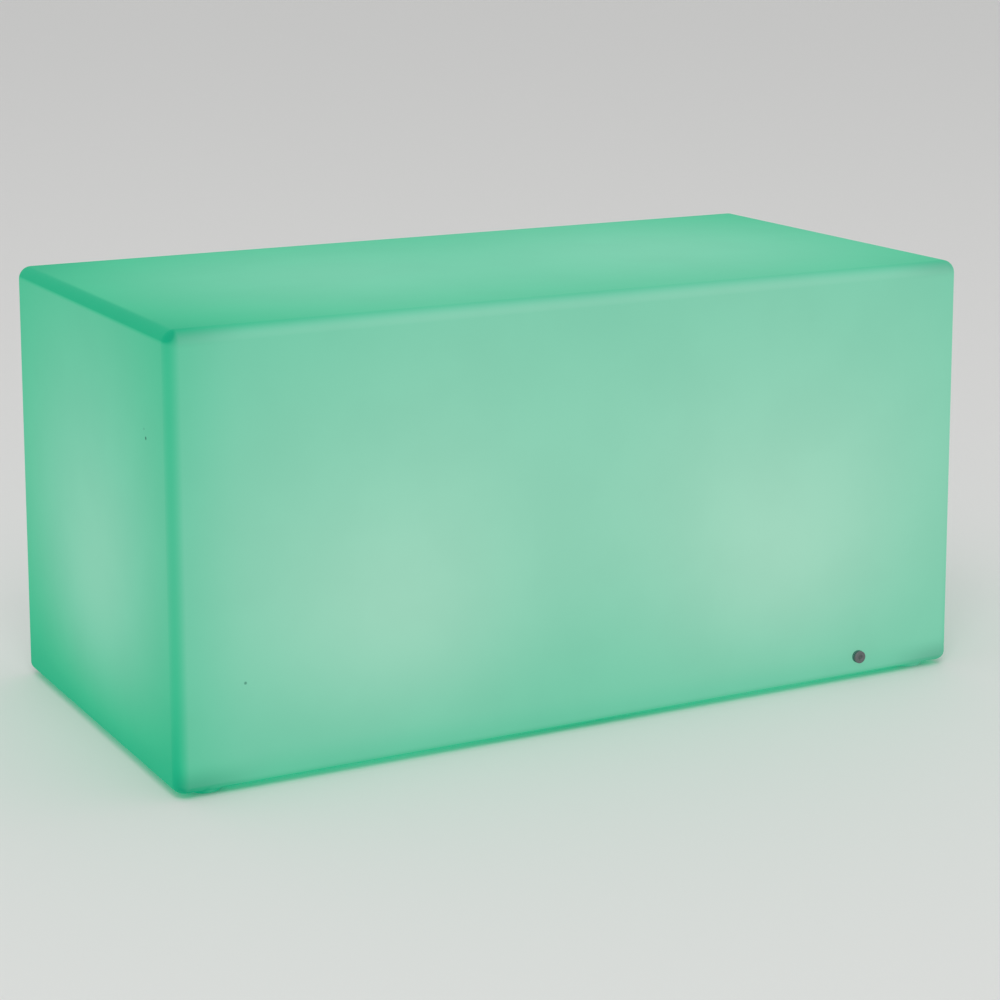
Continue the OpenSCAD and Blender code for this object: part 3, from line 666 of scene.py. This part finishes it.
def return_spring(side, material):
    """A button's spring, which flattens towards the board as the button is pressed."""
    low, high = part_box("button_spring_" + side)
    middle = (low + high) / 2
    coil_r = (high.x - low.x) / 2 - WIRE_R
    steps = SPRING_TURNS * TURN_STEPS
    pitch = (high.z - low.z - 2 * WIRE_R) / steps
    rings = []
    for i in range(steps + 1):
        turn = 2 * math.pi * i / TURN_STEPS
        outward = Vector((math.cos(turn), math.sin(turn), 0))
        centre = Vector((middle.x, middle.y, low.z + WIRE_R + pitch * i)) + coil_r * outward
        section = circle(0, 0, WIRE_R, WIRE_SIDES)
        rings.append([centre + outward * a + Vector((0, 0, b)) for a, b in section])
    skin = Skin()
    skin.rows(rings)
    skin.cap(rings[0])
    skin.cap(rings[-1])
    spring = skin.finish("return_spring_" + side, SPRING_SHARP)
    spring.data.materials.append(material)
    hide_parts("button_spring_" + side)
    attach(spring, "body")
    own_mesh(spring)


class Finish:
    """A material with one shader, and short calls for its nodes."""

    def __init__(self, name, colour, roughness, metallic=0.0, specular=0.5):
        self.material = bpy.data.materials.new(name)
        self.material.use_nodes = True
        self.tree = self.material.node_tree
        self.shader = self.tree.nodes["Principled BSDF"]
        self.set("Base Color", (*colour, 1))
        self.set("Roughness", roughness)
        self.set("Metallic", metallic)
        self.set("Specular IOR Level", specular)
        self.place = self.node("ShaderNodeTexCoord").outputs["Object"]

    def set(self, name, value):
        """Gives one of the shader's sockets a value or another node's output."""
        self.feed(self.shader.inputs[name], value)

    def feed(self, socket, value):
        """Gives any socket a value or another node's output."""
        if isinstance(value, bpy.types.NodeSocket):
            self.tree.links.new(value, socket)
        else:
            socket.default_value = value

    def node(self, kind, inputs=(), **settings):
        """A node with its inputs, by name or number, and its settings."""
        made = self.tree.nodes.new(kind)
        for key, value in settings.items():
            setattr(made, key, value)
        for key, value in dict(inputs).items():
            self.feed(made.inputs[key], value)
        return made

    def calc(self, operation, *values, clamp=False):
        """The result of a calculation with numbers."""
        made = self.node("ShaderNodeMath", enumerate(values), operation=operation, use_clamp=clamp)
        return made.outputs[0]

    def times(self, first, second):
        """The product of two numbers."""
        return self.calc("MULTIPLY", first, second)

    def less(self, share):
        """What a share leaves of 1."""
        return self.calc("SUBTRACT", 1.0, share)

    def vector(self, operation, *values, out="Vector"):
        """The result of a calculation with vectors."""
        made = self.node("ShaderNodeVectorMath", enumerate(values), operation=operation)
        return made.outputs[out]

    def parts(self, value):
        """The three parts of a vector."""
        return self.node("ShaderNodeSeparateXYZ", {"Vector": value}).outputs

    def noise(self, scale, detail, where=None):
        """Random values from 0 to 1 that change smoothly with the place."""
        inputs = {"Vector": where or self.place, "Scale": scale, "Detail": detail}
        return self.node("ShaderNodeTexNoise", inputs).outputs["Fac"]

    def stretched(self, x, y, z):
        """The place, squeezed along each axis, for a grain that runs one way."""
        return self.vector("MULTIPLY", self.place, (x, y, z))

    def spread(self, value, low, high, to_low=0.0, to_high=1.0, smooth=True):
        """A value taken from one range to another and held at its ends."""
        kind = "SMOOTHSTEP" if smooth else "LINEAR"
        inputs = {"Value": value, "From Min": low, "From Max": high,
                  "To Min": to_low, "To Max": to_high}
        made = self.node("ShaderNodeMapRange", inputs, interpolation_type=kind)
        return made.outputs["Result"]

    def around(self, value, middle, uneven, span=MIDDLE):
        """A middle, with the least to the most added to it as a value goes through a span."""
        return self.spread(value, *span, middle + uneven[0], middle + uneven[1])

    def shades(self, value, stops):
        """Colours along a value from 0 to 1."""
        made = self.node("ShaderNodeValToRGB", {"Fac": value})
        ramp = made.color_ramp
        while len(ramp.elements) < len(stops):
            ramp.elements.new(0.5)
        for element, (at, colour) in zip(ramp.elements, stops):
            element.position = at
        for element, (at, colour) in zip(ramp.elements, stops):
            element.color = (*colour, 1)
        return made.outputs["Color"]

    def mix(self, share, first, second):
        """A blend of two colours."""
        made = self.node("ShaderNodeMix", data_type="RGBA")
        self.feed(made.inputs[0], share)
        for socket, colour in ((made.inputs[6], first), (made.inputs[7], second)):
            self.feed(socket, (*colour, 1) if isinstance(colour, tuple) else colour)
        return made.outputs[2]

    def bump(self, height, strength, depth):
        """Raises the surface by a value."""
        inputs = {"Height": height, "Strength": strength, "Distance": depth}
        self.set("Normal", self.node("ShaderNodeBump", inputs).outputs["Normal"])


def module_light(finish, normal):
    """Light from the modules, dimmed by its way to the wall and by the wall's slant to it."""
    total = 0.0
    for source in GLOW_SOURCES:
        ray = finish.vector("SUBTRACT", finish.place, source)
        away = finish.vector("LENGTH", ray, out="Value")
        rise = finish.calc("DIVIDE", finish.parts(ray)["Z"], away, clamp=True)
        facing = finish.calc("ABSOLUTE", finish.vector("DOT_PRODUCT", ray, normal, out="Value"))
        facing = finish.calc("DIVIDE", facing, away)
        lobe = finish.times(finish.calc("POWER", rise, GLOW_SPREAD), facing)
        fall = finish.calc("POWER", finish.calc("DIVIDE", away, GLOW_UNIT), 2.0)
        total = finish.calc("ADD", total, finish.calc("DIVIDE", lobe, fall))
    return finish.calc("POWER", total, GLOW_POWER)


def wall_glow(finish, normal):
    """How bright the shell's faces glow, with a painted reflection of studio light in the floor on
    faces across Y.
    """
    squares = finish.vector("MULTIPLY", normal, normal)
    gain = finish.vector("DOT_PRODUCT", squares, GLOW_GAIN, out="Value")
    # The floor on faces across Y is partly a painted reflection of studio light from in front.
    floor = finish.vector("DOT_PRODUCT", squares, GLOW_AND_SHEEN_FLOOR, out="Value")
    tilt = finish.vector("DOT_PRODUCT", finish.place, GLOW_TILT, out="Value")
    light = finish.times(module_light(finish, normal), gain)
    return finish.calc("ADD", light, finish.calc("ADD", floor, tilt))


def edges_dimmed(finish, glow, normal):
    """The glow, less what the rounded edges lose: partly the thicker wall there and partly painted
    shade, heavier at the left end.
    """
    nx, ny, nz = finish.parts(finish.vector("ABSOLUTE", normal))
    along = finish.parts(finish.place)["X"]
    up = finish.calc("MAXIMUM", finish.parts(normal)["Z"], 0.0)
    down = finish.calc("SUBTRACT", nz, up)
    lip = finish.times(finish.spread(nz, *LIP_UP), finish.spread(ny, *LIP_OUT))
    for turn, dims in ((finish.times(nx, up), DIM_END_TOP), (finish.times(nx, down), DIM_END_BASE),
                       (finish.times(nx, ny), DIM_UPRIGHT), (lip, DIM_LIP)):
        depth = finish.spread(along, SHELL_LOW.x, SHELL_HIGH.x, *dims, smooth=False)
        glow = finish.times(glow, finish.less(finish.times(turn, depth)))
    return glow


def walls_dimmed(finish, glow, normal):
    """The glow, less what the walls lose near the ground and by their left ends."""
    along, _, height = finish.parts(finish.place)
    sideways = finish.parts(finish.vector("ABSOLUTE", normal))["Y"]
    low_glow = finish.spread(along, SHELL_LOW.x, SHELL_HIGH.x, *BASE_GLOW, smooth=False)
    glow = finish.times(glow, finish.spread(height, *BASE_FADE, low_glow, 1.0))
    side = finish.times(sideways, finish.spread(along, *SIDE_REACH, SIDE_DIM, 0.0))
    return finish.calc("SUBTRACT", glow, side)


def glow_colour(finish, glow, normal):
    """The colour for a glow, and the underside's painted glow below."""
    under = finish.spread(finish.parts(normal)["Z"], *UNDER_SLOPE, 1.0, 0.0)
    mirrored = finish.vector("ABSOLUTE", finish.place)
    away = finish.vector("DISTANCE", mirrored, (MODULE_X, 0.0, 0.0), out="Value")
    near = finish.spread(away, POCKET_R, UNDER_REACH, 1.0, 0.0)
    level = finish.calc("DIVIDE", glow, GLOW_FULL)
    return finish.mix(under, finish.shades(level, GLOW_STOPS), finish.mix(near, *UNDER_GLOW))


def glow_strength(finish, normal):
    """How much of its colour the shell gives off: less at the long sides' corners and in specks."""
    along, _, height = finish.parts(finish.place)
    sideways = finish.parts(finish.vector("ABSOLUTE", normal))["Y"]
    ends = finish.spread(finish.calc("ABSOLUTE", along), *CORNER_REACH)
    low = finish.spread(height, *CORNER_LOW, CORNER_DIM[0], 0.0)
    high = finish.spread(height, *CORNER_HIGH, 0.0, CORNER_DIM[1])
    corner = finish.times(finish.times(ends, finish.calc("ADD", low, high)), sideways)
    mottle = finish.spread(finish.noise(*SHELL_MOTTLE), *MIDDLE, *UNEVEN)
    strength = finish.times(mottle, finish.less(corner))
    for centre, radius, kept in SPECKS:
        away = finish.vector("DISTANCE", finish.place, centre, out="Value")
        dark = finish.spread(away, SPECK_CORE * radius, radius, kept, 1.0)
        strength = finish.times(strength, dark)
    return strength


def shell_painted_glow():
    """Opal plastic lit from inside: the light is a painted glow, over a base darkened as painted
    shade.
    """
    finish = Finish("shell_plastic", SHELL_SHADED_BASE, SHELL_ROUGHNESS, specular=SHELL_SPECULAR)
    normal = finish.node("ShaderNodeNewGeometry").outputs["Normal"]
    glow = edges_dimmed(finish, wall_glow(finish, normal), normal)
    glow = walls_dimmed(finish, glow, normal)
    cloud = finish.spread(finish.noise(*SHELL_CLOUD), *MIDDLE, *UNEVEN)
    finish.set("Emission Color", glow_colour(finish, finish.times(glow, cloud), normal))
    finish.set("Emission Strength", glow_strength(finish, normal))
    swell = finish.noise(*SHELL_SWELL)
    relief = finish.calc("MULTIPLY_ADD", swell, SWELL_SHARE, finish.noise(*SHELL_GRAIN))
    finish.bump(relief, *SHELL_BUMP)
    return finish.material


def scaled(colour, factor):
    """A colour made darker by a factor."""
    return tuple(factor * c for c in colour)


def moulded_finish(name, colour, roughness):
    """Injection-moulded plastic with a fine texture, and its slightly uneven colour."""
    finish = Finish(name, colour, roughness)
    mottle = finish.spread(finish.noise(*MOULD_MOTTLE), *MOULD_SPOTS)
    uneven = finish.mix(mottle, colour, scaled(colour, SPOT_SHARE))
    finish.set("Base Color", uneven)
    finish.set("Roughness", finish.around(finish.noise(*MOULD_SHINE), roughness, MOULD_UNEVEN))
    finish.bump(finish.noise(*MOULD_GRAIN), *MOULD_BUMP)
    return finish, uneven


def moulded(name, colour, roughness):
    """The material of a moulded piece."""
    return moulded_finish(name, colour, roughness)[0].material


def cap_plastic():
    """Grey plastic, with painted shade darkening the recess of the cap's face."""
    finish, uneven = moulded_finish("cap_plastic", CAP_COLOUR, CAP_ROUGHNESS)
    across = finish.vector("MULTIPLY", finish.place, (1.0, 0.0, 1.0))
    away = finish.vector("DISTANCE", across, (SOCKET_X, 0.0, SOCKET_Z), out="Value")
    # Painted shade: the recess is darkened towards its middle.
    dish_shade = finish.spread(away, *CAP_DISH, 1.0, 0.0)
    finish.set("Base Color", finish.mix(dish_shade, uneven, CAP_DISH_SHADE_COLOUR))
    return finish.material


def rubber(name, colour, roughness):
    """Matt rubber with a trace of dust."""
    finish = Finish(name, colour, roughness, specular=RUBBER_SPECULAR)
    dust = finish.spread(finish.noise(*DUST), *DUST_SPOTS)
    finish.set("Base Color", finish.mix(dust, colour, tuple(DUST_ADDED + c for c in colour)))
    finish.bump(finish.noise(*RUBBER_GRAIN), *RUBBER_BUMP)
    return finish.material


def metal(name, colour, roughness, along=(1.0, 1.0, 1.0)):
    """Metal with a fine grain, which runs along one axis where the place is squeezed."""
    finish = Finish(name, colour, roughness, metallic=1.0)
    grain = finish.noise(*METAL_GRAIN, finish.stretched(*along))
    finish.set("Roughness", finish.around(grain, roughness, METAL_UNEVEN))
    tarnish = finish.spread(finish.noise(*TARNISH), *TARNISH_SPOTS)
    finish.set("Base Color", finish.mix(tarnish, colour, scaled(colour, TARNISH_SHARE)))
    finish.bump(grain, *METAL_BUMP)
    return finish.material


def webbing():
    """Woven nylon, with its yarns across and along the strap."""
    finish = Finish("strap_webbing", STRAP_COLOURS[0], STRAP_ROUGHNESS, specular=STRAP_SPECULAR)
    finish.set("Sheen Weight", STRAP_SHEEN)
    weave = 1.0
    for axis, scale in YARNS:
        inputs = {"Vector": finish.place, "Scale": scale, "Distortion": YARN_WAVER}
        yarns = finish.node("ShaderNodeTexWave", inputs, bands_direction=axis).outputs["Fac"]
        weave = finish.times(weave, yarns)
    finish.set("Base Color", finish.mix(weave, *STRAP_COLOURS))
    finish.bump(weave, *WEAVE_BUMP)
    return finish.material


def cell_sleeve():
    """Shrunk film round a cell, with small wrinkles."""
    finish = Finish("cell_sleeve", SLEEVE_COLOURS[0], SLEEVE_ROUGHNESS)
    along = finish.parts(finish.place)["Y"]
    fold = finish.noise(*SLEEVE_FOLD, finish.stretched(*SLEEVE_STRETCH))
    finish.set("Base Color", finish.mix(finish.spread(fold, *SLEEVE_FOLDS), *SLEEVE_COLOURS))
    finish.set("Roughness", finish.around(along, SLEEVE_ROUGHNESS, SLEEVE_UNEVEN, SLEEVE_REACH))
    finish.bump(fold, *SLEEVE_BUMP)
    return finish.material


def laminate(name, mask, copper):
    """A printed board: solder mask over faint tracks."""
    finish = Finish(name, mask, BOARD_ROUGHNESS)
    tracks = finish.node("ShaderNodeTexBrick", {
        "Vector": finish.place, "Scale": TRACK_SCALE, "Mortar Size": TRACK_WIDTH,
        "Mortar Smooth": TRACK_BLUR, "Color1": (0, 0, 0, 1), "Color2": (0, 0, 0, 1),
        "Mortar": (1, 1, 1, 1)}).outputs["Fac"]
    finish.set("Base Color", finish.mix(finish.times(tracks, TRACK_SHARE), mask, copper))
    shine = finish.noise(*BOARD_SHINE)
    finish.set("Roughness", finish.around(shine, BOARD_ROUGHNESS, BOARD_UNEVEN))
    finish.bump(tracks, *BOARD_BUMP)
    return finish.material


def led_lens():
    """Clear lenses over lit chips."""
    finish = Finish("led_lens", LENS_COLOUR, LENS_ROUGHNESS)
    finish.set("Emission Color", (*LENS_GLOW, 1))
    glint = finish.spread(finish.noise(*LENS_GLINT), *MIDDLE, *LENS_STRENGTH)
    finish.set("Emission Strength", glint)
    return finish.material


def clear_dome():
    """Clear moulded plastic, a little frosted."""
    finish = Finish("clear_dome", DOME_COLOUR, DOME_ROUGHNESS)
    finish.set("Transmission Weight", DOME_CLEAR)
    finish.set("IOR", DOME_IOR)
    finish.set("Roughness", finish.around(finish.noise(*DOME_SHINE), DOME_ROUGHNESS, DOME_UNEVEN))
    finish.bump(finish.noise(*DOME_GRAIN), *DOME_BUMP)
    return finish.material


def finishes():
    """The material of every slot in the record."""
    return {
        "shell_plastic": shell_painted_glow(),
        "cap_plastic": cap_plastic(),
        # The socket's collar is dark plastic tinted teal: painted green light from the shell's glow
        # falling on and through it.
        "socket_plastic": moulded("socket_plastic", (0.06, 0.18, 0.155), 0.38),
        "black_rubber": rubber("black_rubber", (0.012, 0.012, 0.012), 0.7),
        "white_plastic": moulded("white_plastic", (0.70, 0.72, 0.68), 0.5),
        "button_plastic": moulded("button_plastic", (0.342, 0.355, 0.355), 0.38),
        "black_plastic": moulded("black_plastic", (0.01, 0.01, 0.01), 0.55),
        "steel": metal("steel", (0.39, 0.40, 0.41), 0.32),
        "brass": metal("brass", (0.57, 0.34, 0.085), 0.34),
        "nickel": metal("nickel", (0.48, 0.45, 0.39), 0.24, (1.0, 1.0, 0.2)),
        "aluminium": metal("aluminium", (0.60, 0.62, 0.64), 0.36, (0.1, 1.0, 1.0)),
        "cell_sleeve": cell_sleeve(),
        "strap_webbing": webbing(),
        "lead_sheath": rubber("lead_sheath", (0.012, 0.012, 0.014), 0.5),
        "board_laminate": laminate("board_laminate", (0.006, 0.065, 0.02), (0.03, 0.16, 0.05)),
        "connector_plastic": moulded("connector_plastic", (0.75, 0.71, 0.57), 0.45),
        "led_board_white": laminate("led_board_white", (0.83, 0.83, 0.80), (0.6, 0.6, 0.58)),
        "led_lens": led_lens(),
        "clear_dome": clear_dome(),
    }


def soften(obj, width):
    """Rounds the sharp edges of a CAD solid a little and evens its shading."""
    weld = obj.modifiers.new("weld", "WELD")
    weld.merge_threshold = EDGE_WELD
    bevel = obj.modifiers.new("soft_edges", "BEVEL")
    bevel.width = width
    bevel.segments = EDGE_SEGMENTS
    bevel.limit_method = "ANGLE"
    bevel.angle_limit = math.radians(EDGE_ANGLE)
    bevel.use_clamp_overlap = True
    weights = obj.modifiers.new("even_normals", "WEIGHTED_NORMAL")
    weights.keep_sharp = False


def dress(materials):
    """Gives each CAD solid the material of its slot, and soft edges where it has an edge width."""
    for row in frame["record"]["subparts"]:
        obj = frame["nodes"][row["node"]]
        obj.material_slots[0].material = materials[row["material_slot"]]
        stem = row["node"].replace("_left", "").replace("_right", "")
        if stem in EDGE_WIDTHS:
            soften(obj, EDGE_WIDTHS[stem] * MM)


def lay_floor():
    """A pale floor. From below it isn't there, and it lets the light through to what lies close
    over it, so that the underside can be looked at."""
    mesh = bpy.data.meshes.new("floor")
    half = FLOOR_HALF
    corners = [(-half, -half, 0), (half, -half, 0), (half, half, 0), (-half, half, 0)]
    mesh.from_pydata(corners, [], [(0, 1, 2, 3)])
    floor = bpy.data.objects.new("floor", mesh)
    bpy.context.scene.collection.objects.link(floor)
    finish = Finish("floor", FLOOR_COLOUR, FLOOR_ROUGHNESS, specular=FLOOR_SPECULAR)
    behind = finish.node("ShaderNodeNewGeometry").outputs["Backfacing"]
    rays = finish.node("ShaderNodeLightPath").outputs
    near = finish.calc("LESS_THAN", rays["Ray Length"], FLOOR_GAP)
    lit = finish.calc("MAXIMUM", rays["Is Diffuse Ray"], rays["Is Shadow Ray"])
    away = finish.calc("MAXIMUM", behind, finish.times(near, lit))
    finish.set("Alpha", finish.less(away))
    mesh.materials.append(finish.material)


def hang_lamp():
    """A soft lamp, high up in front and to the left, aimed at the middle of the ground."""
    data = bpy.data.lights.new("lamp", "AREA")
    data.shape = "SQUARE"
    data.size = LAMP_SIZE
    data.energy = LAMP_POWER
    lamp = bpy.data.objects.new("lamp", data)
    bpy.context.scene.collection.objects.link(lamp)
    lamp.location = LAMP_AT
    lamp.rotation_mode = "QUATERNION"
    lamp.rotation_quaternion = (-LAMP_AT).to_track_quat("-Z", "Y")


def light_world():
    """Even light all round. Seen, mirrored or through glass, it is brighter than it shines."""
    world = bpy.data.worlds.new("studio")
    bpy.context.scene.world = world
    world.use_nodes = True
    tree = world.node_tree
    rays = tree.nodes.new("ShaderNodeLightPath").outputs
    shown = rays["Is Camera Ray"]
    for name in ("Is Glossy Ray", "Is Transmission Ray"):
        either = tree.nodes.new("ShaderNodeMath")
        either.operation = "MAXIMUM"
        tree.links.new(shown, either.inputs[0])
        tree.links.new(rays[name], either.inputs[1])
        shown = either.outputs[0]
    strength = tree.nodes.new("ShaderNodeMapRange")
    strength.inputs["To Min"].default_value = WORLD_LIGHT
    strength.inputs["To Max"].default_value = WORLD_SHOWN
    tree.links.new(shown, strength.inputs["Value"])
    tree.links.new(strength.outputs["Result"], tree.nodes["Background"].inputs["Strength"])
    tree.nodes["Background"].inputs["Color"].default_value = (1, 1, 1, 1)


def set_camera():
    """The camera, where the photograph was taken from."""
    data = bpy.data.cameras.new("camera")
    data.lens = CAMERA_LENS
    data.sensor_width = SENSOR
    data.clip_end = CLIP_END
    camera = bpy.data.objects.new("camera", data)
    bpy.context.scene.collection.objects.link(camera)
    level = math.cos(CAMERA_PITCH)
    ahead = Vector((math.sin(CAMERA_AZIMUTH) * level, math.cos(CAMERA_AZIMUTH) * level,
                    -math.sin(CAMERA_PITCH)))
    camera.location = CAMERA_AT
    camera.rotation_mode = "QUATERNION"
    camera.rotation_quaternion = ahead.to_track_quat("-Z", "Y")
    bpy.context.scene.camera = camera


set_camera()
lay_floor()
hang_lamp()
light_world()
materials = finishes()
dress(materials)
shell = shell_skin()
shell.data.materials.append(materials["shell_plastic"])
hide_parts("shell")
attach(shell, "body")
for side in ("left", "right"):
    return_spring(side, materials["steel"])

bpy.context.scene.view_settings.view_transform = "Standard"
